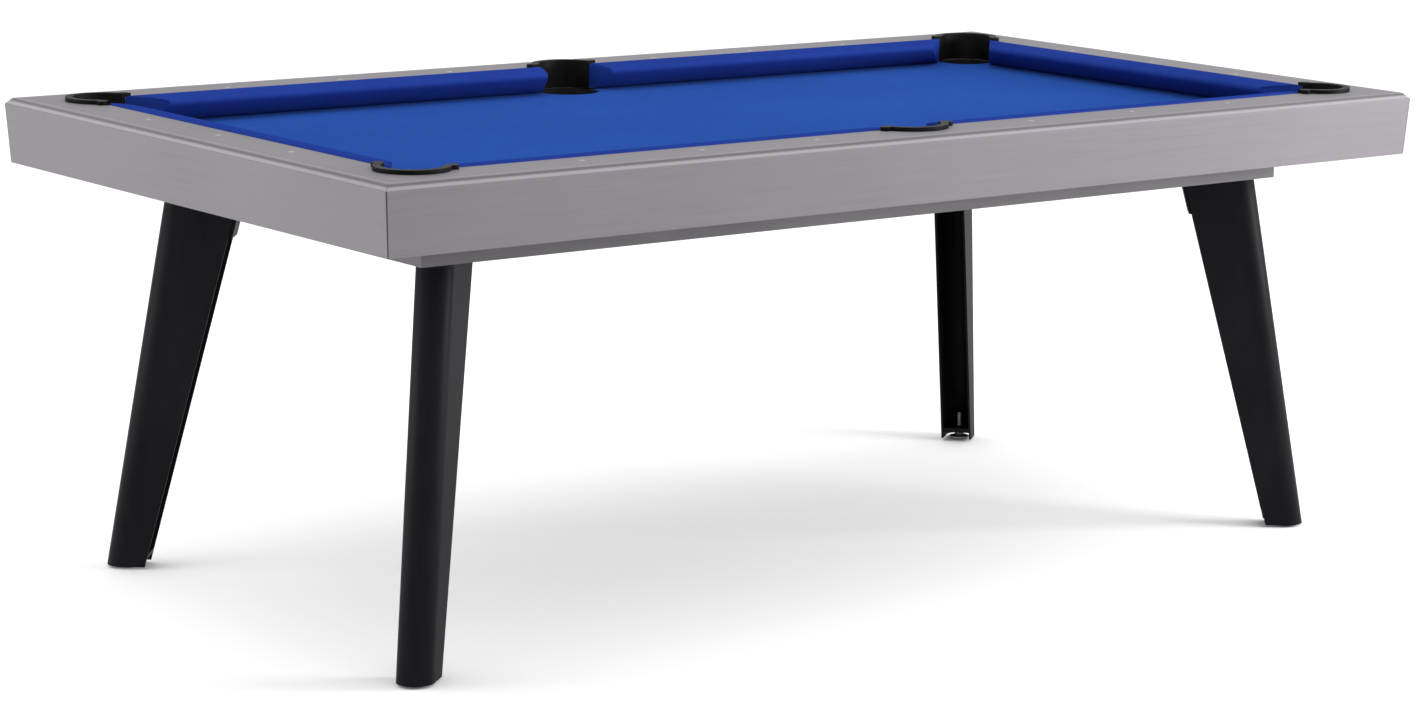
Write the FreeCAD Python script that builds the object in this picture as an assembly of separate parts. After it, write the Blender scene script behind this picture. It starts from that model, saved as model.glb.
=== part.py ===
"""Pool table: wooden cabinet on four splayed steel legs, slate bed, six drop pockets.

Millimetres. The origin is on the floor under the middle of the table. +X runs along
the table, +Y across it and +Z up.
"""
import FreeCAD, Part
import math
import os

Vec = FreeCAD.Vector

# Overall size
LENGTH = 2134.0
WIDTH = 1210.0
RAIL_TOP = 800.0

# Apron boards round the outside
APRON_THICK = 25.0
APRON_HEIGHT = 110.0
APRON_LEAN = 6.0
APRON_CHAMFER = 10.0
MITRE_DEPTH = 200.0

# Bed
BED_TOP = 756.0
CLOTH_THICK = 1.0
SLATE_THICK = 24.0
SLATE_INSET = 46.0
SLATE_JOINT = 0.4
SLATE_SEAM_X = 338.0

# Rails, measured inward from the outside of the table
CAP_EDGE = 100.0
NOSE_EDGE = 152.5
NOSE_HEIGHT = 36.5
CORNER_NOSE_END = 228.5
CORNER_FACING_DEG = 43.0
SIDE_NOSE_END = 70.0
SIDE_FACING_DEG = 74.0
CUSHION_BULGE = 3.0
CUSHION_LIFT = 1.5

# Pockets
CORNER_POCKET = 118.0
SIDE_POCKET = 112.0
CORNER_RADIUS = 47.0
SIDE_RADIUS = 54.0
LINER_WALL = 4.0
RIM_WIDTH = 8.0
RIM_HEIGHT = 7.0
EAR_RADIUS = 9.0
CUP_GAP = 1.0
CUP_WALL = 3.0
CUP_BOTTOM = 684.0

# Base frame under the slate
FRAME_LONG_INSET = 170.0
FRAME_END_INSET = 166.0
FRAME_BOTTOM = 640.0
BEAM_THICK = 45.0
CROSS_BEAM_X = 300.0
BLOCK_LENGTH = 170.0
BLOCK_WIDTH = 150.0
BLOCK_HEIGHT = 45.0

# Legs: a folded channel that stands on a diagonal and leans outward
LEG_X = 817.0
LEG_Y = 367.0
LEG_TURN_DEG = 39.6
LEG_TOP = 634.0
LEG_BOTTOM = 4.0
LEG_THICK = 60.0
LEG_WALL = 4.0
LEG_OUT_FLOOR = 183.0
LEG_OUT_SLOPE = 120.0 / 690.0
LEG_IN_FLOOR = 114.0
LEG_IN_SLOPE = 183.0 / 690.0
TONGUE_DEPTH = 60.0
TONGUE_STEP = 6.0
FOOT_PLATE_RISE = 14.0
FOOT_PLATE_THICK = 8.0

# Levelling feet
FOOT_X = 146.0
STEM_RADIUS = 5.0
STEM_GAP = 0.06
STEM_TOP = 52.0
PAD_RADIUS = 19.0
PAD_HEIGHT = 8.0
HEX_FLATS = 17.0

# Fasteners
BOLT_RADIUS = 4.0
HOLE_GAP = 0.3
RAIL_BOLT_INSET = 74.0
SIGHT_INSET = 66.0
SIGHT_RADIUS = 5.0
SIGHT_DEPTH = 3.0

HALF_L = LENGTH / 2
HALF_W = WIDTH / 2
SLATE_TOP = BED_TOP - CLOTH_THICK
SLATE_BOTTOM = SLATE_TOP - SLATE_THICK
CORNER_X = HALF_L - CORNER_POCKET
CORNER_Y = HALF_W - CORNER_POCKET
SIDE_Y = HALF_W - SIDE_POCKET
FRAME_X = HALF_L - FRAME_END_INSET
FRAME_Y = HALF_W - FRAME_LONG_INSET

# Name, place and the direction in which each pocket opens towards the bed
POCKETS = [
    ("near_left", -CORNER_X, -CORNER_Y, 45.0, CORNER_RADIUS),
    ("near_right", CORNER_X, -CORNER_Y, 135.0, CORNER_RADIUS),
    ("far_right", CORNER_X, CORNER_Y, 225.0, CORNER_RADIUS),
    ("far_left", -CORNER_X, CORNER_Y, 315.0, CORNER_RADIUS),
    ("near_side", 0.0, -SIDE_Y, 90.0, SIDE_RADIUS),
    ("far_side", 0.0, SIDE_Y, 270.0, SIDE_RADIUS),
]
CORNERS = [("near_left", -1, -1), ("near_right", 1, -1), ("far_right", 1, 1), ("far_left", -1, 1)]


def box(x0, x1, y0, y1, z0, z1):
    """A block between two opposite corners."""
    return Part.makeBox(x1 - x0, y1 - y0, z1 - z0, Vec(x0, y0, z0))


def rod(x, y, z0, z1, radius):
    """An upright round bar."""
    return Part.makeCylinder(radius, z1 - z0, Vec(x, y, z0))


def prism(points, z0, z1):
    """An upright prism over a plan outline."""
    outline = [Vec(x, y, z0) for x, y in points]
    return Part.Face(Part.makePolygon(outline + outline[:1])).extrude(Vec(0, 0, z1 - z0))


def section_bar(points, x0, x1):
    """A bar along X whose section is given in Y and Z."""
    outline = [Vec(x0, y, z) for y, z in points]
    return Part.Face(Part.makePolygon(outline + outline[:1])).extrude(Vec(x1 - x0, 0, 0))


def turned(shape, degrees):
    """A copy turned about the Z axis."""
    copy = shape.copy()
    copy.rotate(Vec(0, 0, 0), Vec(0, 0, 1), degrees)
    return copy


def hex_bar(x, y, z0, z1, flats):
    """An upright hexagonal bar."""
    reach = flats / 2 / math.cos(math.radians(30))
    angles = [math.radians(60 * i) for i in range(6)]
    return prism([(x + reach * math.cos(a), y + reach * math.sin(a)) for a in angles], z0, z1)


def pocket_slot(x, y, degrees, radius, reach, z0, z1):
    """A round hole with a slot of the same width that runs off in one direction."""
    slot = box(0, reach, -radius, radius, z0, z1)
    slot = turned(slot, degrees)
    slot.translate(Vec(x, y, 0))
    return rod(x, y, z0, z1, radius).fuse(slot).removeSplitter()


def pocket_cuts(z0, z1):
    """Every pocket's clearance in the rails, open towards the bed."""
    return [pocket_slot(x, y, turn, radius + LINER_WALL, 200.0, z0, z1) for _, x, y, turn, radius in POCKETS]


def bed_cuts(z0, z1):
    """Every pocket's clearance in the bed, open towards the outside."""
    places = [(x, y, turn + 180.0, radius + LINER_WALL) for _, x, y, turn, radius in POCKETS]
    return [pocket_slot(x, y, turn, radius, 200.0, z0, z1) for x, y, turn, radius in places]


def rail_bolt_places():
    """Where bolts come up through the slate into each rail."""
    places = []
    for x in (-720.0, -480.0, -240.0, 240.0, 480.0, 720.0):
        for sign in (-1, 1):
            places.append((x, sign * (HALF_W - RAIL_BOLT_INSET)))
    for y in (-290.0, 0.0, 290.0):
        for sign in (-1, 1):
            places.append((sign * (HALF_L - RAIL_BOLT_INSET), y))
    return places


def slate_screw_places():
    """Where screws hold the slates to the base frame."""
    beam = FRAME_Y - BEAM_THICK / 2
    ends = FRAME_X - BEAM_THICK / 2
    places = [(x, sign * beam) for x in (-700.0, -430.0, -180.0, 180.0, 430.0, 700.0) for sign in (-1, 1)]
    places += [(sign * ends, y) for sign in (-1, 1) for y in (-180.0, 180.0)]
    return places


def sight_places():
    """Rail sights at the quarter points of the playing area."""
    step = (WIDTH - 2 * NOSE_EDGE) / 4
    places = []
    for i in (-3, -2, -1, 1, 2, 3):
        for sign in (-1, 1):
            places.append((i * step, sign * (HALF_W - SIGHT_INSET)))
    for i in (-1, 0, 1):
        for sign in (-1, 1):
            places.append((sign * (HALF_L - SIGHT_INSET), i * step))
    return places


def mitre(half_run, half_depth, z0, z1):
    """The stretch of one side of the table between its two mitred corners."""
    inner = half_run - MITRE_DEPTH
    line = MITRE_DEPTH - half_depth
    return prism([(-half_run, -half_depth), (half_run, -half_depth), (inner, line), (-inner, line)], z0, z1)


def apron_board(half_run, half_depth):
    """One cabinet board, chamfered on top and leaning in towards the bottom."""
    low = RAIL_TOP - APRON_HEIGHT
    profile = [
        (APRON_LEAN, low),
        (APRON_THICK, low),
        (APRON_THICK, RAIL_TOP),
        (APRON_CHAMFER, RAIL_TOP),
        (0.0, RAIL_TOP - APRON_CHAMFER),
    ]
    board = section_bar([(n - half_depth, z) for n, z in profile], -half_run, half_run)
    return board.common(mitre(half_run, half_depth, low, RAIL_TOP))


def rail_cap(half_run, half_depth):
    """The flat wooden rail top along one side, mitred at its ends."""
    bar = box(-half_run, half_run, APRON_THICK - half_depth, CAP_EDGE - half_depth, BED_TOP, RAIL_TOP)
    return bar.common(mitre(half_run, half_depth, BED_TOP, RAIL_TOP))


def cushion_bar(half_depth, x0, x1):
    """A cushion with its nose at playing height, along one side."""
    nose = BED_TOP + NOSE_HEIGHT
    profile = [
        (CAP_EDGE, RAIL_TOP - 0.5),
        (CAP_EDGE + 5.0, RAIL_TOP + CUSHION_BULGE),
        (CAP_EDGE + 20.0, RAIL_TOP + CUSHION_BULGE),
        (CAP_EDGE + 36.0, RAIL_TOP + 0.5),
        (NOSE_EDGE - 3.0, nose + 3.5),
        (NOSE_EDGE, nose),
        (NOSE_EDGE - 3.0, nose - 5.0),
        (CAP_EDGE + 12.0, BED_TOP + CUSHION_LIFT),
        (CAP_EDGE, BED_TOP + CUSHION_LIFT),
    ]
    return section_bar([(n - half_depth, z) for n, z in profile], x0, x1)


def facing_cut(half_depth, nose_x, degrees, side):
    """Removes a cushion's end beyond its facing; side is -1 for a left end, 1 for a right end."""
    depth = NOSE_EDGE - CAP_EDGE
    back_x = nose_x + side * depth / math.tan(math.radians(degrees))
    over = 1.0
    slope = (back_x - nose_x) / depth
    far = side * 400.0
    points = [
        (nose_x - over * slope, NOSE_EDGE + over - half_depth),
        (back_x + over * slope, CAP_EDGE - over - half_depth),
        (back_x + far, CAP_EDGE - over - half_depth),
        (back_x + far, NOSE_EDGE + over - half_depth),
    ]
    return prism(points, BED_TOP - over, RAIL_TOP + CUSHION_BULGE + over)


def long_cushion(side):
    """The cushion between a corner pocket and the side pocket; side is its sign along X."""
    corner = HALF_L - CORNER_NOSE_END
    bar = cushion_bar(HALF_W, 20.0, HALF_L - 130.0)
    bar = bar.cut(facing_cut(HALF_W, corner, CORNER_FACING_DEG, 1))
    bar = bar.cut(facing_cut(HALF_W, SIDE_NOSE_END, SIDE_FACING_DEG, -1))
    if side > 0:
        return bar
    return bar.mirror(Vec(0, 0, 0), Vec(1, 0, 0))


def end_cushion():
    """The cushion across one end of the table, lying along X before it is turned."""
    corner = HALF_W - CORNER_NOSE_END
    bar = cushion_bar(HALF_L, 130.0 - HALF_W, HALF_W - 130.0)
    bar = bar.cut(facing_cut(HALF_L, corner, CORNER_FACING_DEG, 1))
    return bar.cut(facing_cut(HALF_L, -corner, CORNER_FACING_DEG, -1))


def pocket_liner(x, y, degrees, radius):
    """A moulded pocket liner: a U-shaped wall in the rail with a raised rim and two ears."""
    corner = degrees % 90 != 0
    outer = radius + LINER_WALL
    wall = pocket_slot(0, 0, 0, outer, 120.0, BED_TOP, RAIL_TOP)
    rim = pocket_slot(0, 0, 0, outer + RIM_WIDTH, 120.0, RAIL_TOP, RAIL_TOP + RIM_HEIGHT)
    hollow = pocket_slot(0, 0, 0, radius, 260.0, BED_TOP - 1.0, RAIL_TOP + RIM_HEIGHT + 1.0)
    body = turned(wall.fuse(rim), degrees)
    body.translate(Vec(x, y, 0))
    hollow = turned(hollow, degrees)
    hollow.translate(Vec(x, y, 0))
    low = BED_TOP - 1.0
    high = RAIL_TOP + RIM_HEIGHT + 1.0
    line_x = HALF_L - CAP_EDGE
    line_y = HALF_W - CAP_EDGE
    body = body.cut(box(-line_x, line_x, -line_y, line_y, low, high))
    reach = outer + EAR_RADIUS - 2.0
    if corner:
        inset = CAP_EDGE - EAR_RADIUS
        along = inset + reach * math.sqrt(2)
        sign_x = math.copysign(1, x)
        sign_y = math.copysign(1, y)
        spots = [(sign_x * (HALF_L - a), sign_y * (HALF_W - b)) for a, b in ((along, inset), (inset, along))]
    else:
        sign_y = math.copysign(1, y)
        spots = [(side * reach, sign_y * (HALF_W - CAP_EDGE + EAR_RADIUS)) for side in (-1, 1)]
    for ear_x, ear_y in spots:
        body = body.fuse(rod(ear_x, ear_y, RAIL_TOP, RAIL_TOP + RIM_HEIGHT, EAR_RADIUS))
    return body.cut(hollow).removeSplitter()


def pocket_cup(x, y, radius):
    """A drop cup under the slate, just deep enough to hold the balls."""
    cup = rod(x, y, CUP_BOTTOM, SLATE_TOP - CUP_GAP, radius + CUP_WALL)
    return cup.cut(rod(x, y, CUP_BOTTOM + CUP_WALL, SLATE_TOP, radius))


def slate(x0, x1):
    """One slate of the bed with its pocket notches and bolt holes."""
    half_y = HALF_W - SLATE_INSET
    stone = box(x0, x1, -half_y, half_y, SLATE_BOTTOM, SLATE_TOP)
    stone = stone.cut(Part.Compound(bed_cuts(SLATE_BOTTOM - 1, SLATE_TOP + 1)))
    holes = [(x, y) for x, y in rail_bolt_places() + slate_screw_places() if x0 < x < x1]
    cutters = [rod(x, y, SLATE_BOTTOM - 1, SLATE_TOP + 1, BOLT_RADIUS + HOLE_GAP) for x, y in holes]
    heads = [rod(x, y, SLATE_TOP - 5, SLATE_TOP + 1, 8 + HOLE_GAP)
             for x, y in slate_screw_places() if x0 < x < x1]
    return stone.cut(Part.Compound(cutters + heads))


def bed_cloth():
    """The cloth stretched over the slates."""
    half_x = HALF_L - SLATE_INSET
    half_y = HALF_W - SLATE_INSET
    cloth = box(-half_x, half_x, -half_y, half_y, SLATE_TOP, BED_TOP)
    cloth = cloth.cut(Part.Compound(bed_cuts(SLATE_TOP - 1, BED_TOP + 1)))
    holes = [rod(x, y, SLATE_TOP - 1, BED_TOP + 1, BOLT_RADIUS + HOLE_GAP) for x, y in rail_bolt_places()]
    return cloth.cut(Part.Compound(holes))


def rail_bolts():
    """Bolts with washers that draw the rails down onto the slate."""
    bolts = []
    for x, y in rail_bolt_places():
        shank = rod(x, y, SLATE_BOTTOM - 2, BED_TOP + 26, BOLT_RADIUS)
        washer = rod(x, y, SLATE_BOTTOM - 2, SLATE_BOTTOM, 12.0)
        head = hex_bar(x, y, SLATE_BOTTOM - 8, SLATE_BOTTOM - 2, 13.0)
        bolts.append(shank.fuse(washer).fuse(head).removeSplitter())
    return Part.Compound(bolts)


def slate_screws():
    """Countersunk screws that hold the slates to the base frame."""
    screws = []
    for x, y in slate_screw_places():
        shank = rod(x, y, SLATE_BOTTOM - 30, SLATE_TOP - 4, BOLT_RADIUS)
        head = rod(x, y, SLATE_TOP - 5, SLATE_TOP - 0.5, 8.0)
        screws.append(shank.fuse(head).removeSplitter())
    return Part.Compound(screws)


def rail_sights():
    """Round markers let into the rail tops."""
    low = RAIL_TOP - SIGHT_DEPTH
    return Part.Compound([rod(x, y, low, RAIL_TOP, SIGHT_RADIUS) for x, y in sight_places()])


def frame_beams():
    """The base frame: two long beams, two end beams and three cross beams."""
    low = FRAME_BOTTOM
    top = SLATE_BOTTOM
    inner_y = FRAME_Y - BEAM_THICK
    half = BEAM_THICK / 2
    beams = {
        "base_beam_near": box(-FRAME_X, FRAME_X, -FRAME_Y, -inner_y, low, top),
        "base_beam_far": box(-FRAME_X, FRAME_X, inner_y, FRAME_Y, low, top),
        "base_beam_left": box(-FRAME_X, BEAM_THICK - FRAME_X, -inner_y, inner_y, low, top),
        "base_beam_right": box(FRAME_X - BEAM_THICK, FRAME_X, -inner_y, inner_y, low, top),
    }
    for name, x in (("left", -CROSS_BEAM_X), ("middle", 0.0), ("right", CROSS_BEAM_X)):
        beams["cross_beam_" + name] = box(x - half, x + half, -inner_y, inner_y, low + 20, top)
    cutters = [rod(x, y, SLATE_BOTTOM - 31, SLATE_BOTTOM + 1, BOLT_RADIUS + HOLE_GAP)
               for x, y in slate_screw_places()]
    holes = Part.Compound(cutters)
    return {name: beam.cut(holes) for name, beam in beams.items()}


def leg_bolt_places():
    """The four flange bolts of a leg, in the leg's own plan."""
    return [(r, t) for r in (-40.0, 8.0) for t in (-12.0, 12.0)]


def leg_block(sign_x, sign_y):
    """The corner block that a leg bolts to, inside the base frame."""
    out_x = FRAME_X - BEAM_THICK
    out_y = FRAME_Y - BEAM_THICK
    high = FRAME_BOTTOM + BLOCK_HEIGHT
    block = box(out_x - BLOCK_LENGTH, out_x, out_y - BLOCK_WIDTH, out_y, FRAME_BOTTOM, high)
    if sign_x < 0:
        block = block.mirror(Vec(0, 0, 0), Vec(1, 0, 0))
    if sign_y < 0:
        block = block.mirror(Vec(0, 0, 0), Vec(0, 1, 0))
    low = FRAME_BOTTOM - 1
    holes = [rod(r, t, low, FRAME_BOTTOM + 31, BOLT_RADIUS + HOLE_GAP) for r, t in leg_bolt_places()]
    return block.cut(placed_leg(Part.Compound(holes), sign_x, sign_y))


def leg_outer(z):
    """How far the leg's outer edge stands from its reference point at a height."""
    return LEG_OUT_FLOOR - LEG_OUT_SLOPE * z


def leg_inner(z):
    """How far the leg's open inner edge stands from its reference point at a height."""
    return LEG_IN_FLOOR - LEG_IN_SLOPE * z


def channel_wire(z, skin):
    """A leg's outline at a height: straight sides and a round nose, drawn in by skin."""
    half = LEG_THICK / 2 - skin
    nose = leg_outer(z) - LEG_THICK / 2
    back = leg_inner(z)
    corners = [Vec(nose, -half, z), Vec(nose + half, 0, z), Vec(nose, half, z)]
    edges = [
        Part.makeLine(Vec(back, -half, z), corners[0]),
        Part.Arc(corners[0], corners[1], corners[2]).toShape(),
        Part.makeLine(corners[2], Vec(back, half, z)),
        Part.makeLine(Vec(back, half, z), Vec(back, -half, z)),
    ]
    return Part.Wire(edges)


def leg_body(skin, z0, z1):
    """A tapered solid between two of the leg's outlines."""
    return Part.makeLoft([channel_wire(z0, skin), channel_wire(z1, skin)], True, True)


def leg_hollow():
    """The space inside the channel, open on the leg's inner side."""
    over = 40.0
    inside = leg_body(LEG_WALL, LEG_BOTTOM - over, LEG_TOP + over)
    half = LEG_THICK / 2 - LEG_WALL
    low = LEG_BOTTOM - over
    high = LEG_TOP + over
    points = [
        (leg_inner(low) + 1, low),
        (leg_inner(high) + 1, high),
        (leg_inner(high) - 40, high),
        (leg_inner(low) - 40, low),
    ]
    outline = [Vec(r, -half, z) for r, z in points]
    mouth = Part.Face(Part.makePolygon(outline + outline[:1])).extrude(Vec(0, 2 * half, 0))
    return inside.fuse(mouth)


def leg_channel():
    """The folded steel leg."""
    return leg_body(0.0, LEG_BOTTOM, LEG_TOP).cut(leg_hollow())


def slanted_plate(points, t0, t1):
    """A plate whose outline is given along the leg and upward, between two faces across it."""
    outline = [Vec(r, t0, z) for r, z in points]
    return Part.Face(Part.makePolygon(outline + outline[:1])).extrude(Vec(0, t1 - t0, 0))


def leg_bracket():
    """The bracket welded in the top of a leg: a flange, two cheeks and a stepped back web."""
    half = LEG_THICK / 2 - LEG_WALL
    low = LEG_TOP - TONGUE_DEPTH
    top_in = leg_inner(LEG_TOP) - TONGUE_STEP
    low_in = leg_inner(low) - TONGUE_STEP
    cheek = [(low_in, low), (44.0, low), (44.0, LEG_TOP), (top_in, LEG_TOP)]
    web = [(low_in, low), (low_in + 5, low), (top_in + 5, LEG_TOP), (top_in, LEG_TOP)]
    bracket = leg_body(0.0, LEG_TOP, FRAME_BOTTOM)
    bracket = bracket.fuse(box(top_in, 0, -half, half, LEG_TOP, FRAME_BOTTOM))
    for t0, t1 in ((-half, 5 - half), (half - 5, half)):
        bracket = bracket.fuse(slanted_plate(cheek, t0, t1))
    bracket = bracket.fuse(slanted_plate(web, 5 - half, half - 5))
    holes = [rod(r, t, LEG_TOP - 1, FRAME_BOTTOM + 1, BOLT_RADIUS + HOLE_GAP) for r, t in leg_bolt_places()]
    return bracket.cut(Part.Compound(holes)).removeSplitter()


def leg_bolt_set():
    """The four bolts that hold a leg's flange to its corner block."""
    bolts = []
    for r, t in leg_bolt_places():
        shank = rod(r, t, LEG_TOP, FRAME_BOTTOM + 28, BOLT_RADIUS)
        washer = rod(r, t, LEG_TOP - 1.5, LEG_TOP, 8.0)
        head = hex_bar(r, t, LEG_TOP - 7.5, LEG_TOP - 1.5, 13.0)
        bolts.append(shank.fuse(washer).fuse(head).removeSplitter())
    return Part.Compound(bolts)


def foot_plate():
    """The threaded plate that closes the bottom of a leg."""
    low = LEG_BOTTOM + FOOT_PLATE_RISE
    slab = box(0, 260, -60, 60, low, low + FOOT_PLATE_THICK)
    plate = leg_body(LEG_WALL, LEG_BOTTOM, LEG_BOTTOM + 60).common(slab)
    hole = rod(FOOT_X, 0, LEG_BOTTOM, LEG_BOTTOM + 30, STEM_RADIUS + STEM_GAP)
    return plate.cut(hole)


def levelling_foot():
    """A screw foot: a round pad, a hexagon for a spanner and a threaded stem."""
    pad = Part.makeCone(PAD_RADIUS - 1.5, PAD_RADIUS, 1.5, Vec(FOOT_X, 0, 0))
    pad = pad.fuse(rod(FOOT_X, 0, 1.5, PAD_HEIGHT - 3, PAD_RADIUS))
    pad = pad.fuse(Part.makeCone(PAD_RADIUS, 10.0, 3.0, Vec(FOOT_X, 0, PAD_HEIGHT - 3)))
    pad = pad.fuse(hex_bar(FOOT_X, 0, PAD_HEIGHT, PAD_HEIGHT + 7, HEX_FLATS))
    return pad.fuse(rod(FOOT_X, 0, PAD_HEIGHT, STEM_TOP, STEM_RADIUS)).removeSplitter()


def placed_leg(shape, sign_x, sign_y):
    """A leg part turned onto its diagonal and moved to its corner."""
    turn = LEG_TURN_DEG if sign_x * sign_y > 0 else -LEG_TURN_DEG
    if sign_x < 0:
        turn += 180.0
    copy = turned(shape, turn)
    copy.translate(Vec(sign_x * LEG_X, sign_y * LEG_Y, 0))
    return copy


def apron_brackets():
    """Small steel angles under the rails that hold the apron boards."""
    brackets = []
    for half_run, half_depth, turns, spots in (
        (HALF_L, HALF_W, (0, 180), (-840.0, -360.0, 360.0, 840.0)),
        (HALF_W, HALF_L, (90, 270), (-380.0, 0.0, 380.0)),
    ):
        inside = APRON_THICK - half_depth
        for degrees in turns:
            for spot in spots:
                foot = box(spot - 20, spot + 20, inside, inside + 20, BED_TOP - 3, BED_TOP)
                leaf = box(spot - 20, spot + 20, inside, inside + 3, BED_TOP - 45, BED_TOP)
                brackets.append(turned(foot.fuse(leaf).removeSplitter(), degrees))
    return Part.Compound(brackets)


def build():
    """Every node of the table by name."""
    nodes = {}
    for name, half_run, half_depth, degrees in (
        ("near", HALF_L, HALF_W, 0),
        ("right", HALF_W, HALF_L, 90),
        ("far", HALF_L, HALF_W, 180),
        ("left", HALF_W, HALF_L, 270),
    ):
        nodes["apron_" + name] = turned(apron_board(half_run, half_depth), degrees)

    rail_cuts = pocket_cuts(BED_TOP - 1, RAIL_TOP + 1)
    bolt_holes = [rod(x, y, BED_TOP - 1, BED_TOP + 27, BOLT_RADIUS + HOLE_GAP) for x, y in rail_bolt_places()]
    sight_holes = [rod(x, y, RAIL_TOP - SIGHT_DEPTH, RAIL_TOP + 1, SIGHT_RADIUS) for x, y in sight_places()]
    cuts = Part.Compound(rail_cuts + bolt_holes + sight_holes)
    long_cap = rail_cap(HALF_L, HALF_W)
    end_cap = rail_cap(HALF_W, HALF_L)
    right_half = box(0, LENGTH, -WIDTH, WIDTH, 0, LENGTH)
    left_half = box(-LENGTH, 0, -WIDTH, WIDTH, 0, LENGTH)
    nodes["rail_cap_near_left"] = long_cap.common(left_half).cut(cuts)
    nodes["rail_cap_near_right"] = long_cap.common(right_half).cut(cuts)
    nodes["rail_cap_far_right"] = turned(long_cap.common(left_half), 180).cut(cuts)
    nodes["rail_cap_far_left"] = turned(long_cap.common(right_half), 180).cut(cuts)
    nodes["rail_cap_right"] = turned(end_cap, 90).cut(cuts)
    nodes["rail_cap_left"] = turned(end_cap, 270).cut(cuts)

    nodes["cushion_near_left"] = long_cushion(-1)
    nodes["cushion_near_right"] = long_cushion(1)
    nodes["cushion_far_right"] = turned(long_cushion(-1), 180)
    nodes["cushion_far_left"] = turned(long_cushion(1), 180)
    nodes["cushion_right"] = turned(end_cushion(), 90)
    nodes["cushion_left"] = turned(end_cushion(), 270)

    for name, x, y, degrees, radius in POCKETS:
        nodes["pocket_liner_" + name] = pocket_liner(x, y, degrees, radius)
        nodes["pocket_cup_" + name] = pocket_cup(x, y, radius)

    edge = HALF_L - SLATE_INSET
    half_joint = SLATE_JOINT / 2
    nodes["slate_left"] = slate(-edge, -SLATE_SEAM_X - half_joint)
    nodes["slate_middle"] = slate(-SLATE_SEAM_X + half_joint, SLATE_SEAM_X - half_joint)
    nodes["slate_right"] = slate(SLATE_SEAM_X + half_joint, edge)
    nodes["bed_cloth"] = bed_cloth()
    nodes.update(frame_beams())

    for name, sign_x, sign_y in CORNERS:
        nodes["leg_" + name] = placed_leg(leg_channel(), sign_x, sign_y)
        nodes["leg_bracket_" + name] = placed_leg(leg_bracket(), sign_x, sign_y)
        nodes["levelling_foot_" + name] = placed_leg(levelling_foot(), sign_x, sign_y)
    nodes["leg_blocks"] = Part.Compound([leg_block(sx, sy) for _, sx, sy in CORNERS])
    nodes["foot_plates"] = Part.Compound([placed_leg(foot_plate(), sx, sy) for _, sx, sy in CORNERS])
    nodes["leg_bolts"] = Part.Compound([placed_leg(leg_bolt_set(), sx, sy) for _, sx, sy in CORNERS])

    nodes["rail_bolts"] = rail_bolts()
    nodes["slate_screws"] = slate_screws()
    nodes["rail_sights"] = rail_sights()
    nodes["apron_brackets"] = apron_brackets()
    return nodes


def main():
    os.makedirs("parts", exist_ok=True)
    for name, shape in build().items():
        shape.exportStep("parts/" + name + ".step")
        print(name, "solids", len(shape.Solids), "valid", shape.isValid(), round(shape.Volume))


main()
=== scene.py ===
"""The look of the pool table: materials, bed cloth, cushions, pocket linings, light and camera.

Everything is in metres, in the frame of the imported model. The origin is on the floor
under the middle of the table, +X runs along it and +Z up.
"""
import math
import bmesh
import bpy
from mathutils import Matrix, Vector


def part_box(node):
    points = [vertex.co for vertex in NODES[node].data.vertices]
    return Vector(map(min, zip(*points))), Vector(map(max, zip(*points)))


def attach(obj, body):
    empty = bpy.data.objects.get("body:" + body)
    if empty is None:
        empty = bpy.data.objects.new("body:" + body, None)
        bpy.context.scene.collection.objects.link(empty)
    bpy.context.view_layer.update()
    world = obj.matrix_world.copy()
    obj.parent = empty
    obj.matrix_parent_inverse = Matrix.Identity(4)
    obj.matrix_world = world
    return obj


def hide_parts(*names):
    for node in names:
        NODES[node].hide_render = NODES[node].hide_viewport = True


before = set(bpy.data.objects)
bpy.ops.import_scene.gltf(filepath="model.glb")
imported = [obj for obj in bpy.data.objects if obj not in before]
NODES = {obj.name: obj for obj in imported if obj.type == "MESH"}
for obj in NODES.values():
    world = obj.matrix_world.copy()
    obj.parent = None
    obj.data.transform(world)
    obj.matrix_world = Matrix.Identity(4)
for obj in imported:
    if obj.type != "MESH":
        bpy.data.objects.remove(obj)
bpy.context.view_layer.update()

MM = 0.001
TABLE = "table"

# Places read from the frame
HALF_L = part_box("apron_near")[1][0]
HALF_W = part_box("apron_right")[1][1]
RAIL_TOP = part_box("rail_cap_left")[1][2]
BED_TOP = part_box("bed_cloth")[1][2]
CLOTH_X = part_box("bed_cloth")[1][0]
CLOTH_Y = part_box("bed_cloth")[1][1]
CAP_EDGE = HALF_W - abs(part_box("rail_cap_near_left")[1][1])
NOSE_EDGE = HALF_W - abs(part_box("cushion_near_left")[1][1])
NOSE_Z = BED_TOP + 36.5 * MM

# The boards lean outward with height by this share, and have a chamfer at the top
APRON_LEAN = 6 / 110
CHAMFER_HEIGHT = 10 * MM

# Where the glue line at the boards' mitres starts and is full, back from the corner
GLUE_START = 1.9 * MM
GLUE_FULL = 1.1 * MM

# Gap between a pocket's cup and the cloth's edge, and the angles of the cushions' end facings
CUP_TO_NOTCH = 1 * MM
CORNER_FACING_DEG = 43
SIDE_FACING_DEG = 74

# The cushion's section: the run of its rounded back, its nose's radius, how far it stands above
# the rail, how far above the nose's line its slope ends, and how late that slope falls
BACK_ROUND = 7 * MM
NOSE_ROUND = 7 * MM
CROWN = 2.8 * MM
SLOPE_END = 4.9 * MM
SLOPE_POWER = 1.9
CUSHION_SPANS = 24

# The rounded ends of a cushion: distance from the end, and how far the section draws in there
END_ROUNDING = [(0.0, 1.3 * MM), (0.3 * MM, 0.6 * MM), (1.0 * MM, 0.2 * MM), (2.4 * MM, 0.0)]
END_MARGIN = 4 * MM

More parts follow.
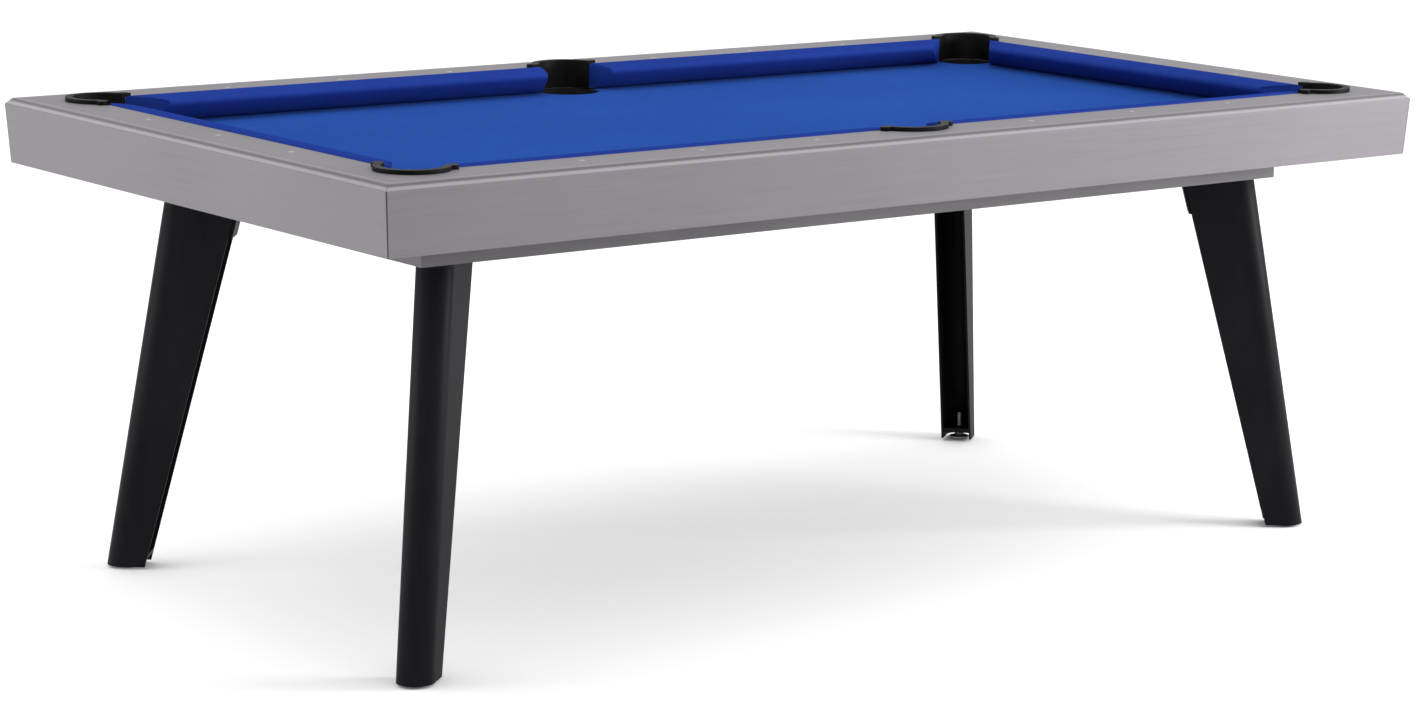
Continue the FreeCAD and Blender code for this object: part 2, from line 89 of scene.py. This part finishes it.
# The cloth's edge in a pocket, from the flat rim down: offset from the notch, and drop
CLOTH_LIPS = [(4.0 * MM, 0.0), (0.8 * MM, 0.0), (0.25 * MM, 0.2 * MM),
              (-0.2 * MM, 0.8 * MM), (-0.45 * MM, 2.0 * MM), (-0.55 * MM, 11.0 * MM)]
CLOTH_THICKNESS = 0.8 * MM

# The scale of the cloth's woven pattern
THREADS = 420

FLOOR_SIZE = 30
FLOOR_DROP = 0.5 * MM
SURROUND_STRENGTH = 1.3

# The reference view
CAMERA_PLACE = (-3.9986, -5.3564, 1.6168)
CAMERA_HEADING_DEG = 39.168
CAMERA_PITCH_DEG = 10.907
CAMERA_ROLL_DEG = 0.987
CAMERA_LENS = 97.716
CAMERA_SHIFT_X = -0.1221

# The boards' sides use the caps' laminate painted darker: painted shade on the sides
SHADED_APRON_GREY = (0.128, 0.119, 0.131)
CAP_GREY = (0.172, 0.163, 0.177)
# The boards' chamfer: a painted highlight band, and above it a darker strip of painted shade where the
# board meets the cap
HIGHLIGHT_BAND_GREY = (0.240, 0.229, 0.249)
SEAM_SHADE_GREY = (0.098, 0.092, 0.097)
GLUE_GREY = (0.028, 0.025, 0.029)
BED_BLUE = (0.0145, 0.060, 0.285)
# The cushions use the bed's cloth painted darker: painted shade on the cushions
SHADED_CUSHION_BLUE = (0.0145, 0.037, 0.225)


# ---------------------------------------------------------------- materials


class Shader:
    """A node material under construction: a Principled shader and the nodes that feed it."""

    def __init__(self, name, **constants):
        self.material = bpy.data.materials.new(name)
        self.material.use_nodes = True
        self.tree = self.material.node_tree
        self.shader = self.tree.nodes["Principled BSDF"]
        for socket, value in constants.items():
            self.shader.inputs[socket.replace("_", " ")].default_value = value
        self.coords = self.add("ShaderNodeTexCoord").outputs["Object"]
        self.height = None

    def add(self, kind, **values):
        node = self.tree.nodes.new(kind)
        for name, value in values.items():
            setattr(node, name, value)
        return node

    def link(self, source, target):
        self.tree.links.new(source, target)

    def stretched(self, scale):
        mapping = self.add("ShaderNodeMapping")
        mapping.inputs["Scale"].default_value = scale
        self.link(self.coords, mapping.inputs["Vector"])
        return mapping.outputs["Vector"]

    def noise(self, scale, stretch=(1, 1, 1), detail=4.0, roughness=0.55):
        node = self.add("ShaderNodeTexNoise")
        node.inputs["Scale"].default_value = scale
        node.inputs["Detail"].default_value = detail
        node.inputs["Roughness"].default_value = roughness
        self.link(self.stretched(stretch), node.inputs["Vector"])
        return node.outputs["Fac"]

    def wave(self, scale, turn, distortion=0.0):
        mapping = self.add("ShaderNodeMapping")
        mapping.inputs["Rotation"].default_value = (0, 0, turn)
        self.link(self.coords, mapping.inputs["Vector"])
        node = self.add("ShaderNodeTexWave")
        node.inputs["Scale"].default_value = scale
        node.inputs["Distortion"].default_value = distortion
        self.link(mapping.outputs["Vector"], node.inputs["Vector"])
        return node.outputs["Fac"]

    def cells(self, scale):
        node = self.add("ShaderNodeTexVoronoi")
        node.inputs["Scale"].default_value = scale
        self.link(self.coords, node.inputs["Vector"])
        return node.outputs["Distance"]

    def ramp(self, source, stops):
        node = self.add("ShaderNodeValToRGB")
        node.color_ramp.interpolation = "EASE"
        node.color_ramp.elements[0].position = stops[0][0]
        node.color_ramp.elements[0].color = (*stops[0][1], 1)
        node.color_ramp.elements[1].position = stops[-1][0]
        node.color_ramp.elements[1].color = (*stops[-1][1], 1)
        for place, colour in stops[1:-1]:
            node.color_ramp.elements.new(place).color = (*colour, 1)
        self.link(source, node.inputs["Fac"])
        return node.outputs["Color"]

    def spread(self, source, low, high):
        node = self.add("ShaderNodeMapRange")
        node.inputs["To Min"].default_value = low
        node.inputs["To Max"].default_value = high
        self.link(source, node.inputs["Value"])
        return node.outputs["Result"]

    def combined(self, first, second, operation="ADD"):
        node = self.add("ShaderNodeMath", operation=operation)
        self.link(first, node.inputs[0])
        self.link(second, node.inputs[1])
        return node.outputs["Value"]

    def mix(self, factor, first, second):
        node = self.add("ShaderNodeMix", data_type="RGBA")
        self.link(factor, node.inputs["Factor"])
        self.link(first, node.inputs["A"])
        self.link(second, node.inputs["B"])
        return node.outputs["Result"]

    def colour(self, source):
        self.link(source, self.shader.inputs["Base Color"])

    def roughness(self, source):
        self.link(source, self.shader.inputs["Roughness"])

    def bump(self, source, depth, strength=1.0):
        node = self.add("ShaderNodeBump")
        node.inputs["Strength"].default_value = strength
        node.inputs["Distance"].default_value = depth
        self.link(source, node.inputs["Height"])
        self.link(node.outputs["Normal"], self.shader.inputs["Normal"])


def shade(colour, factor):
    """A colour made lighter or darker."""
    return tuple(min(1.0, c * factor) for c in colour)


def laminate_grain(mat, colour, along):
    """A faint brushed grain along one axis: sets roughness and bump, returns the colour."""
    stretch = {"x": (0.35, 9, 9), "y": (9, 0.35, 9)}[along]
    grain = mat.noise(16, stretch, 6.0, 0.62)
    cloud = mat.noise(2.2, detail=3.0)
    fine = mat.noise(90, stretch, 3.0)
    tone = mat.combined(mat.spread(grain, 0.0, 0.55), mat.spread(cloud, 0.0, 0.45))
    mat.roughness(mat.spread(grain, 0.42, 0.58))
    mat.bump(mat.combined(grain, fine), 0.00012, 0.5)
    return mat.ramp(tone, [(0.32, shade(colour, 0.89)), (0.5, colour), (0.68, shade(colour, 1.09))])


def laminate(name, colour, along, gloss):
    """Silver-grey satin laminate."""
    mat = Shader(name, Specular_IOR_Level=gloss)
    mat.colour(laminate_grain(mat, colour, along))
    return mat.material


def mitred_laminate(name, colour, along, half_run):
    """Board laminate with a dark glue line where the board meets its neighbour at a mitre."""
    mat = Shader(name, Specular_IOR_Level=0.3)
    face = laminate_grain(mat, colour, along)
    split = mat.add("ShaderNodeSeparateXYZ")
    mat.link(mat.coords, split.inputs["Vector"])
    reach = mat.add("ShaderNodeMath", operation="ABSOLUTE")
    mat.link(split.outputs[along.upper()], reach.inputs[0])
    corner = mat.add("ShaderNodeMath", operation="MULTIPLY_ADD")
    mat.link(split.outputs["Z"], corner.inputs[0])
    corner.inputs[1].default_value = APRON_LEAN
    corner.inputs[2].default_value = half_run - APRON_LEAN * RAIL_TOP
    line = mat.add("ShaderNodeMapRange")
    line.inputs["From Min"].default_value = -GLUE_START
    line.inputs["From Max"].default_value = -GLUE_FULL
    past = mat.combined(reach.outputs["Value"], corner.outputs["Value"], "SUBTRACT")
    mat.link(past, line.inputs["Value"])
    blend = mat.add("ShaderNodeMix", data_type="RGBA")
    mat.link(line.outputs["Result"], blend.inputs["Factor"])
    mat.link(face, blend.inputs["A"])
    blend.inputs["B"].default_value = (*GLUE_GREY, 1)
    mat.colour(blend.outputs["Result"])
    return mat.material


def painted_edge_highlight():
    """The sloping top edge of the boards: a painted highlight band below a darker strip of painted
    shade at the seam.
    """
    mat = Shader("edge_band_laminate", Specular_IOR_Level=0.2)
    grain = laminate_grain(mat, (1, 1, 1), "x")
    height = mat.add("ShaderNodeSeparateXYZ")
    mat.link(mat.coords, height.inputs["Vector"])
    climb = mat.add("ShaderNodeMapRange")
    climb.inputs["From Min"].default_value = RAIL_TOP - CHAMFER_HEIGHT
    climb.inputs["From Max"].default_value = RAIL_TOP
    mat.link(height.outputs["Z"], climb.inputs["Value"])
    # Painted highlight low on the slope, painted shade near its top
    tones = mat.ramp(climb.outputs["Result"], [
        (0.0, SHADED_APRON_GREY), (0.2, HIGHLIGHT_BAND_GREY), (0.42, HIGHLIGHT_BAND_GREY), (0.7, SEAM_SHADE_GREY),
        (0.88, SEAM_SHADE_GREY), (1.0, CAP_GREY)])
    blend = mat.add("ShaderNodeMix", data_type="RGBA", blend_type="MULTIPLY")
    blend.inputs["Factor"].default_value = 1.0
    mat.link(tones, blend.inputs["A"])
    mat.link(grain, blend.inputs["B"])
    mat.colour(blend.outputs["Result"])
    return mat.material


def powder_coat():
    """Satin black powder coat: a fine orange peel with faint scuffs."""
    mat = Shader("leg_powder_coat", Specular_IOR_Level=0.05)
    peel = mat.noise(650, detail=2.0)
    scuff = mat.noise(7, (1, 1, 0.35), 7.0, 0.68)
    mat.colour(mat.ramp(scuff, [(0.3, (0.0034, 0.0035, 0.0046)), (0.75, (0.0074, 0.0076, 0.0100))]))
    mat.roughness(mat.spread(scuff, 0.4, 0.58))
    mat.bump(peel, 0.00016, 0.45)
    return mat.material


def worsted(name, colour, dark, sheen):
    """Woven worsted cloth: crossed threads, a soft nap and slow changes of tone."""
    mat = Shader(name, Roughness=0.85, Sheen_Weight=sheen, Sheen_Roughness=0.45, Specular_IOR_Level=0.0)
    mat.shader.inputs["Sheen Tint"].default_value = (0.45, 0.6, 1.0, 1)
    warp = mat.wave(THREADS, math.radians(45), 0.6)
    weft = mat.wave(THREADS, math.radians(-45), 0.6)
    weave = mat.combined(warp, weft, "MULTIPLY")
    nap = mat.noise(900, detail=3.0)
    cloud = mat.noise(3.5, detail=4.0)
    fluff = mat.noise(60, detail=5.0, roughness=0.7)
    tone = mat.combined(mat.spread(cloud, 0.0, 0.5), mat.spread(fluff, 0.0, 0.5))
    base = mat.ramp(tone, [(0.35, dark), (0.65, colour)])
    thread = mat.ramp(nap, [(0.3, shade(dark, 0.75)), (0.7, shade(colour, 1.12))])
    share = mat.spread(weave, 0.12, 0.4)
    mat.colour(mat.mix(share, base, thread))
    mat.bump(mat.combined(weave, mat.spread(nap, 0.0, 0.8)), 0.0002, 0.55)
    return mat.material


def black_rubber():
    """Moulded pocket rubber with a fine leather-like pebble."""
    mat = Shader("pocket_rubber", Specular_IOR_Level=0.05)
    pebble = mat.cells(520)
    wear = mat.noise(24, detail=5.0)
    mat.colour(mat.ramp(wear, [(0.3, (0.0032, 0.0032, 0.0034)), (0.75, (0.0085, 0.0085, 0.0088))]))
    mat.roughness(mat.spread(wear, 0.42, 0.66))
    mat.bump(pebble, 0.00035, 0.5)
    return mat.material


def black_plastic():
    """The drop cups' moulded plastic, finely grained."""
    mat = Shader("pocket_plastic", Specular_IOR_Level=0.03)
    grain = mat.noise(700, detail=2.0)
    smear = mat.noise(18, detail=5.0)
    mat.colour(mat.ramp(smear, [(0.3, (0.006, 0.006, 0.0065)), (0.7, (0.014, 0.014, 0.015))]))
    mat.roughness(mat.spread(smear, 0.5, 0.72))
    mat.bump(grain, 0.00025, 0.5)
    return mat.material


def slate_stone():
    """Ground slate with fine bedding and pale flecks."""
    mat = Shader("slate_stone", Specular_IOR_Level=0.35)
    bedding = mat.noise(5, (1, 1.6, 12), 8.0, 0.65)
    fleck = mat.noise(160, detail=2.0)
    base = mat.ramp(bedding, [(0.3, (0.028, 0.031, 0.034)), (0.7, (0.062, 0.066, 0.07))])
    pale = mat.ramp(fleck, [(0.62, (0.03, 0.033, 0.036)), (0.72, (0.12, 0.125, 0.13))])
    mat.colour(mat.mix(mat.spread(fleck, 0.0, 0.35), base, pale))
    mat.roughness(mat.spread(bedding, 0.55, 0.8))
    mat.bump(bedding, 0.0005, 0.5)
    return mat.material


def plated_steel(name, colour, rough):
    """Plated steel with a faint streak and duller patches."""
    mat = Shader(name, Metallic=1.0)
    streak = mat.noise(120, (1, 1, 12), 4.0)
    patch = mat.noise(35, detail=5.0)
    mat.colour(mat.ramp(patch, [(0.3, shade(colour, 0.75)), (0.7, colour)]))
    mat.roughness(mat.spread(patch, rough, rough + 0.22))
    mat.bump(streak, 0.0001, 0.4)
    return mat.material


def shaded_painted_wood():
    """Grey painted beams with a ghost of the grain under the paint, their grey darkened as painted
    shade beneath the rails.
    """
    mat = Shader("shaded_base_frame_paint", Specular_IOR_Level=0.3)
    grain = mat.noise(14, (0.5, 6, 6), 6.0, 0.6)
    blotch = mat.noise(3, detail=4.0)
    tone = mat.combined(mat.spread(grain, 0.0, 0.5), mat.spread(blotch, 0.0, 0.5))
    # Darker grey than the boards: painted shade beneath the rails
    mat.colour(mat.ramp(tone, [(0.34, (0.086, 0.081, 0.086)), (0.66, (0.116, 0.110, 0.116))]))
    mat.roughness(mat.spread(grain, 0.5, 0.66))
    mat.bump(grain, 0.0003, 0.5)
    return mat.material


def sight_inlay():
    """Bronze-grey rail sights with a swirl."""
    mat = Shader("sight_inlay", Coat_Weight=0.1, Coat_Roughness=0.2, Specular_IOR_Level=0.15)
    swirl = mat.noise(260, detail=3.0)
    mat.colour(mat.ramp(swirl, [(0.35, (0.07, 0.06, 0.042)), (0.65, (0.13, 0.112, 0.082))]))
    mat.roughness(mat.spread(swirl, 0.15, 0.3))
    return mat.material


def floor_material():
    """A plain pale floor."""
    mat = Shader("pale_floor", Roughness=0.85, Specular_IOR_Level=0.1)
    tone = mat.noise(0.6, detail=2.0)
    mat.colour(mat.ramp(tone, [(0.3, (0.87, 0.87, 0.875)), (0.7, (0.89, 0.89, 0.895))]))
    return mat.material


RUBBER = black_rubber()
PLASTIC = black_plastic()
COAT = powder_coat()
ZINC = plated_steel("zinc_plate", (0.62, 0.63, 0.65), 0.3)
FOOT_STEEL = plated_steel("foot_steel", (0.26, 0.25, 0.24), 0.42)
SHADED_PAINT = shaded_painted_wood()
INLAY = sight_inlay()
STONE = slate_stone()
BED_CLOTH = worsted("bed_worsted", BED_BLUE, shade(BED_BLUE, 0.86), 0.02)
CUSHION_CLOTH = worsted("cushion_worsted", SHADED_CUSHION_BLUE, shade(SHADED_CUSHION_BLUE, 0.82), 0.0)
APRON_X = mitred_laminate("apron_laminate_x", SHADED_APRON_GREY, "x", HALF_L)
APRON_Y = mitred_laminate("apron_laminate_y", SHADED_APRON_GREY, "y", HALF_W)
CAP_X = laminate("cap_laminate_x", CAP_GREY, "x", 0.03)
CAP_Y = laminate("cap_laminate_y", CAP_GREY, "y", 0.03)
EDGE_HIGHLIGHT = painted_edge_highlight()

FINISHES = [
    ("apron_brackets", ZINC), ("apron_near", APRON_X), ("apron_far", APRON_X), ("apron_", APRON_Y),
    ("rail_cap_near", CAP_X), ("rail_cap_far", CAP_X), ("rail_cap", CAP_Y), ("rail_bolts", ZINC),
    ("rail_sights", INLAY), ("slate_screws", ZINC), ("slate_", STONE), ("pocket_liner", RUBBER),
    ("pocket_cup", PLASTIC), ("base_beam", SHADED_PAINT), ("cross_beam", SHADED_PAINT), ("leg_blocks", SHADED_PAINT),
    ("leg_bolts", ZINC), ("levelling_foot", FOOT_STEEL), ("foot_plates", COAT), ("leg_", COAT),
    ("bed_cloth", BED_CLOTH), ("cushion_", CUSHION_CLOTH),
]

# Edge rounding in millimetres, by the start of the node's name
EDGES = [
    ("apron_brackets", 0.4), ("apron_", 0.8), ("rail_cap", 0.7), ("pocket_liner", 1.6),
    ("base_beam", 2.0), ("cross_beam", 2.0), ("leg_blocks", 2.0), ("leg_bracket", 0.5),
    ("leg_near", 0.9), ("leg_far", 0.9), ("levelling_foot", 0.4), ("pocket_cup", 0.9),
]


def first_match(table, name):
    """The value beside the first prefix that the name starts with."""
    return next((value for prefix, value in table if name.startswith(prefix)), None)


def highlight_chamfer(obj):
    """Puts the painted highlight band and the seam's painted shade on a board's sloping top edge."""
    obj.data.materials.append(EDGE_HIGHLIGHT)
    # A sloping face looks neither straight up, as the top does, nor level, as the sides do
    for face in obj.data.polygons:
        if 0.5 < face.normal.z < 0.9:
            face.material_index = 1


def finish_nodes():
    """Gives every CAD node its material and rounds its sharp edges."""
    for name, obj in NODES.items():
        material = first_match(FINISHES, name)
        obj.data.materials.clear()
        obj.data.materials.append(material)
        if name.startswith("apron_") and name != "apron_brackets":
            highlight_chamfer(obj)
        width = first_match(EDGES, name)
        if width:
            weld = obj.modifiers.new("weld", "WELD")
            weld.merge_threshold = 0.02 * MM
            bevel = obj.modifiers.new("edges", "BEVEL")
            bevel.width = width * MM
            bevel.segments = 3 if name.startswith("pocket_liner") else 2
            bevel.limit_method = "ANGLE"
            bevel.angle_limit = math.radians(32)


# ------------------------------------------------------------- soft pieces


def new_piece(name, bm, material, smooth_deg=35):
    """Turns a bmesh into an object that rides on the table."""
    mesh = bpy.data.meshes.new(name)
    bmesh.ops.recalc_face_normals(bm, faces=bm.faces)
    bm.to_mesh(mesh)
    bm.free()
    mesh.materials.append(material)
    obj = bpy.data.objects.new(name, mesh)
    bpy.context.scene.collection.objects.link(obj)
    mesh.shade_smooth()
    mesh.set_sharp_from_angle(angle=math.radians(smooth_deg))
    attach(obj, TABLE)
    return obj


def pocket_places():
    """Each pocket's place, inward direction in degrees and radius of its notch in the cloth."""
    turns = {"near_left": 45, "near_side": 90, "near_right": 135,
             "far_right": 225, "far_side": 270, "far_left": 315}
    places = []
    for name, turn in turns.items():
        low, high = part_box("pocket_cup_" + name)
        radius = (high[0] - low[0]) / 2 + CUP_TO_NOTCH
        places.append(((low[0] + high[0]) / 2, (low[1] + high[1]) / 2, turn, radius))
    return places


def notch_outline(x, y, turn, radius, steps=28):
    """The pocket notch's edge: in along one side, round, and out along the other."""
    inward = Vector((math.cos(math.radians(turn)), math.sin(math.radians(turn))))
    centre = Vector((x, y))
    arc = []
    for i in range(steps + 1):
        angle = math.radians(turn + 90 - 180 * i / steps)
        arc.append(centre + Vector((math.cos(angle), math.sin(angle))) * radius)

    def outside(point):
        out_x = (CLOTH_X - abs(point.x)) / abs(inward.x) if abs(inward.x) > 0.01 else math.inf
        out_y = (CLOTH_Y - abs(point.y)) / abs(inward.y) if abs(inward.y) > 0.01 else math.inf
        return point - inward * min(out_x, out_y)

    return outside(arc[0]), arc, outside(arc[-1])


def bed_cloth():
    """The bed cloth: stretched flat, and turned down over the slate's edge in each pocket."""
    bm = bmesh.new()
    outline = []
    arcs = []
    for x, y, turn, radius in pocket_places():
        start, arc, end = notch_outline(x, y, turn, radius + CLOTH_LIPS[0][0])
        ring = [bm.verts.new((p.x, p.y, BED_TOP)) for p in arc]
        first = bm.verts.new((start.x, start.y, BED_TOP))
        last = bm.verts.new((end.x, end.y, BED_TOP))
        outline += [first, *ring, last]
        arcs.append((x, y, radius, ring))
    bm.faces.new(outline)
    for x, y, radius, ring in arcs:
        above = ring
        for grow, drop in CLOTH_LIPS[1:]:
            below = []
            for vert in ring:
                away = Vector((vert.co.x - x, vert.co.y - y)).normalized() * (radius + grow)
                below.append(bm.verts.new((x + away.x, y + away.y, BED_TOP - drop)))
            for i in range(len(ring) - 1):
                bm.faces.new((above[i], above[i + 1], below[i + 1], below[i]))
            above = below
    cloth = new_piece("bed_cloth_sheet", bm, BED_CLOTH)
    if cloth.data.polygons[0].normal.z < 0:
        cloth.data.flip_normals()
    cloth.data.polygons[0].use_smooth = False
    thick = cloth.modifiers.new("thickness", "SOLIDIFY")
    thick.thickness = CLOTH_THICKNESS
    thick.offset = -1
    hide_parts("bed_cloth")


def oval_arc(centre, radii, start_deg, turn_deg, steps):
    """Points along part of an ellipse, from one angle by a turn."""
    angles = [math.radians(start_deg + turn_deg * i / steps) for i in range(steps + 1)]
    return [(centre[0] + radii[0] * math.cos(a), centre[1] + radii[1] * math.sin(a)) for a in angles]


def cushion_profile():
    """The cushion's section from the wood line over the nose to the back: inset and height."""
    back = CAP_EDGE
    nose = NOSE_EDGE
    crown = RAIL_TOP + CROWN
    fall = crown - (NOSE_Z + SLOPE_END)
    run = nose - back - BACK_ROUND - NOSE_ROUND
    points = [(back + 0.2 * MM, RAIL_TOP - 4.0 * MM), (back + 0.3 * MM, RAIL_TOP - 1.2 * MM)]
    points += oval_arc((back + BACK_ROUND, RAIL_TOP - 0.6 * MM), (6.6 * MM, 3.4 * MM), 165, -75, 6)
    for i in range(1, 9):
        share = i / 8
        points.append((back + BACK_ROUND + run * share, crown - fall * share ** SLOPE_POWER))
    points += oval_arc((nose - NOSE_ROUND, NOSE_Z - 1.6 * MM), (NOSE_ROUND, 6.8 * MM), 64, -100, 8)
    points += [
        (nose - 6 * MM, NOSE_Z - 11.0 * MM), (nose - 14 * MM, NOSE_Z - 18.5 * MM),
        (nose - 24 * MM, NOSE_Z - 27.0 * MM), (nose - 33 * MM, BED_TOP + 3.4 * MM),
        (nose - 37 * MM, BED_TOP + 1.6 * MM), (back + 0.2 * MM, BED_TOP + 1.6 * MM),
    ]
    return points


def cushion(name, half_depth, ends, turn):
    """A cloth-covered cushion along one side, with slanted facings and rounded ends.

    ends gives, for the low and the high end, where the nose stops and how far the back
    stands beyond it.
    """
    profile = cushion_profile()
    centre = Vector((sum(p[0] for p in profile), sum(p[1] for p in profile))) / len(profile)
    stations = [(0, shift, pull) for shift, pull in END_ROUNDING]
    for i in range(1, CUSHION_SPANS):
        share = i / CUSHION_SPANS
        stations.append((share, END_MARGIN * (1 - 2 * share), 0.0))
    stations += [(1, -shift, pull) for shift, pull in reversed(END_ROUNDING)]
    spin = Matrix.Rotation(math.radians(turn), 3, "Z")
    bm = bmesh.new()
    rings = []
    for share, shift, pull in stations:
        ring = []
        for inset, height in profile:
            depth = (NOSE_EDGE - inset) / (NOSE_EDGE - CAP_EDGE)
            low = ends[0][0] + ends[0][1] * depth
            high = ends[1][0] + ends[1][1] * depth
            place = low + (high - low) * share + shift
            inward = (centre - Vector((inset, height))).normalized() * pull
            point = spin @ Vector((place, inset + inward.x - half_depth, height + inward.y))
            ring.append(bm.verts.new(point))
        rings.append(ring)
    count = len(profile)
    for first, second in zip(rings, rings[1:]):
        for i in range(count):
            j = (i + 1) % count
            bm.faces.new((first[i], first[j], second[j], second[i]))
    bm.faces.new(rings[0])
    bm.faces.new(list(reversed(rings[-1])))
    piece = new_piece(name + "_cloth", bm, CUSHION_CLOTH, 50)
    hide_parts(name)


def cushions():
    """The six cushions, with the end places read from the frame's cushions."""
    depth = NOSE_EDGE - CAP_EDGE
    corner_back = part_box("cushion_near_right")[1][0]
    side_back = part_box("cushion_near_right")[0][0]
    corner_shift = depth / math.tan(math.radians(CORNER_FACING_DEG))
    side_shift = depth / math.tan(math.radians(SIDE_FACING_DEG))
    corner = (corner_back - corner_shift, corner_shift)
    side_nose = (side_back + side_shift, -side_shift)
    mirrored = ((-corner[0], -corner[1]), (-side_nose[0], -side_nose[1]))
    cushion("cushion_near_right", HALF_W, (side_nose, corner), 0)
    cushion("cushion_near_left", HALF_W, mirrored, 0)
    cushion("cushion_far_left", HALF_W, (side_nose, corner), 180)
    cushion("cushion_far_right", HALF_W, mirrored, 180)
    end_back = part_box("cushion_left")[1][1]
    end = (end_back - corner_shift, corner_shift)
    cushion("cushion_right", HALF_L, ((-end[0], -end[1]), end), 90)
    cushion("cushion_left", HALF_L, ((-end[0], -end[1]), end), 270)


# --------------------------------------------------------- light and camera


def stage():
    """A plain pale floor."""
    bm = bmesh.new()
    bmesh.ops.create_grid(bm, x_segments=2, y_segments=2, size=FLOOR_SIZE)
    mesh = bpy.data.meshes.new("floor")
    bm.to_mesh(mesh)
    bm.free()
    mesh.materials.append(floor_material())
    floor = bpy.data.objects.new("floor", mesh)
    floor.location.z = -FLOOR_DROP
    bpy.context.scene.collection.objects.link(floor)


def area_light(name, place, target, size, power):
    """A soft rectangular light aimed at a point."""
    data = bpy.data.lights.new(name, "AREA")
    data.shape = "RECTANGLE"
    data.size = size[0]
    data.size_y = size[1]
    data.energy = power
    light = bpy.data.objects.new(name, data)
    light.location = place
    light.rotation_euler = (Vector(target) - Vector(place)).to_track_quat("-Z", "Y").to_euler()
    bpy.context.scene.collection.objects.link(light)


def lights():
    """Soft studio light: a white surround, a large light overhead and one at each side."""
    world = bpy.data.worlds.new("studio")
    world.use_nodes = True
    world.node_tree.nodes["Background"].inputs["Color"].default_value = (1, 1, 1, 1)
    world.node_tree.nodes["Background"].inputs["Strength"].default_value = SURROUND_STRENGTH
    bpy.context.scene.world = world
    area_light("overhead", (0.3, 0.6, 3.6), target=(0, 0, 0.7), size=(5.0, 3.5), power=20)
    area_light("left_fill", (-3.4, 1.5, 0.72), target=(-1.0, 0.3, 0.75), size=(2.0, 0.8), power=42)
    area_light("right_fill", (3.2, -2.7, 1.3), target=(1.1, -0.6, 0.75), size=(1.8, 1.0), power=165)


def camera():
    """The camera at the reference view: turned about Z, pitched down and slightly rolled."""
    heading = math.radians(CAMERA_HEADING_DEG)
    pitch = math.radians(CAMERA_PITCH_DEG)
    roll = math.radians(CAMERA_ROLL_DEG)
    level = Vector((math.sin(heading), math.cos(heading), 0))
    forward = level * math.cos(pitch) - Vector((0, 0, math.sin(pitch)))
    right = Vector((math.cos(heading), -math.sin(heading), 0))
    up = right.cross(forward)
    side = right * math.cos(roll) + up * math.sin(roll)
    top = up * math.cos(roll) - right * math.sin(roll)
    data = bpy.data.cameras.new("camera")
    data.sensor_width = 36
    data.lens = CAMERA_LENS
    data.shift_x = CAMERA_SHIFT_X
    data.clip_end = 100
    obj = bpy.data.objects.new("camera", data)
    obj.matrix_world = Matrix((
        (side.x, top.x, -forward.x, CAMERA_PLACE[0]),
        (side.y, top.y, -forward.y, CAMERA_PLACE[1]),
        (side.z, top.z, -forward.z, CAMERA_PLACE[2]),
        (0, 0, 0, 1),
    ))
    bpy.context.scene.collection.objects.link(obj)
    bpy.context.scene.camera = obj


finish_nodes()
bed_cloth()
cushions()
stage()
lights()
camera()
bpy.context.scene.view_settings.view_transform = "Standard"
bpy.context.scene.view_settings.look = "None"
